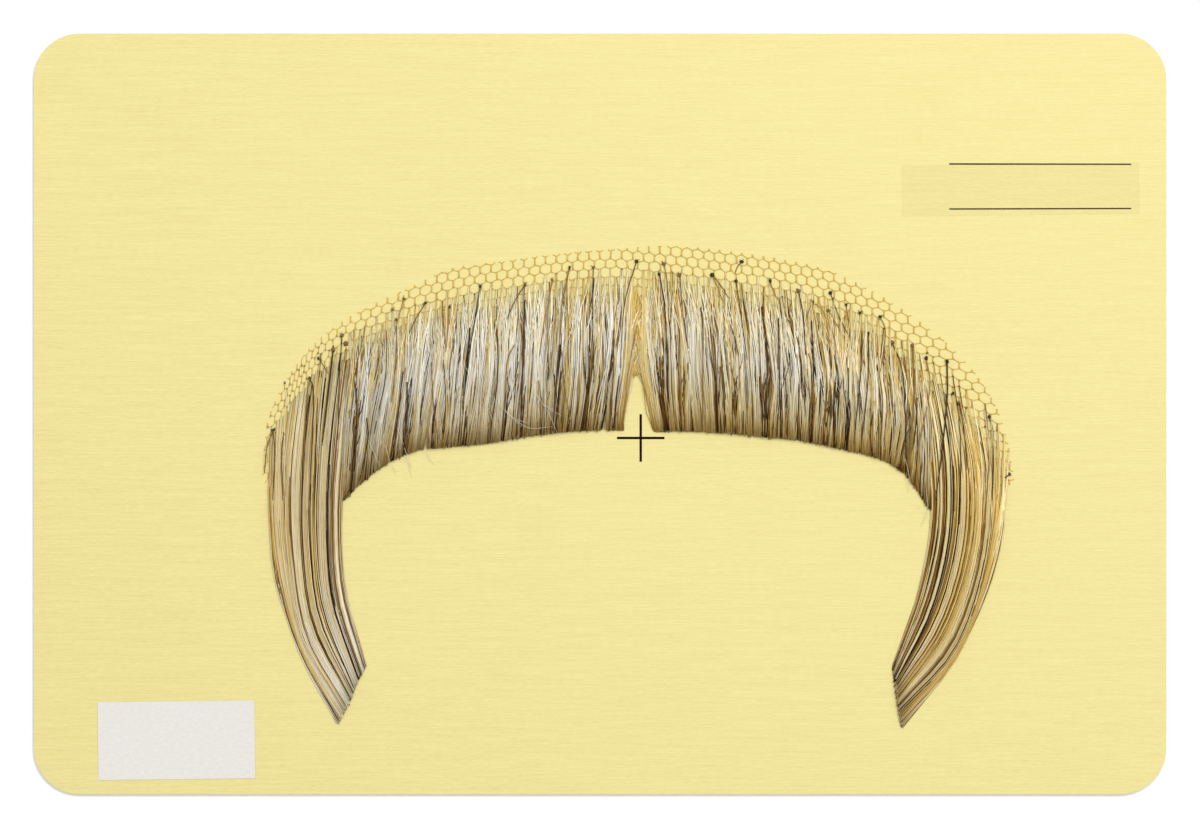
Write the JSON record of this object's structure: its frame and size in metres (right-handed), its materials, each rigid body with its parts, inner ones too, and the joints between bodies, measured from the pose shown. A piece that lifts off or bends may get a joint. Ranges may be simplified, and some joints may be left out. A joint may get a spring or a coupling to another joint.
{
  "type": "fake moustache on its backing card",
  "caption": "False moustache of grey hair knotted on lace, short over the lip with a long drop beside the mouth, lying on a gold card with rounded corners.",
  "frame": {"origin": "middle of the card's underside, on the surface that the card lies on", "axes": "+X along the card's long side, to the right as the card is read; +Y up the card's short side, towards the lace; +Z out of the card's printed face"},
  "size_m": [0.1524, 0.1024, 0.0037],
  "materials": {
    "gold_card": "satin gold foil with fine brushed lines",
    "white_paper": "smooth, slightly glossy",
    "clear_film": "clear, glossy",
    "printing_ink": "matte dark brown",
    "lace_thread": "fine stiff thread",
    "grey_hair": "straight human hair, silver to light brown with dark strands, soft sheen"
  },
  "bodies": {
    "root": {"backing_card": "gold_card", "white_sticker": "white_paper", "clear_sticker": "clear_film", "lace_net": "lace_thread", "hair_left": "grey_hair", "hair_right": "grey_hair"}
  },
  "joints": []
}
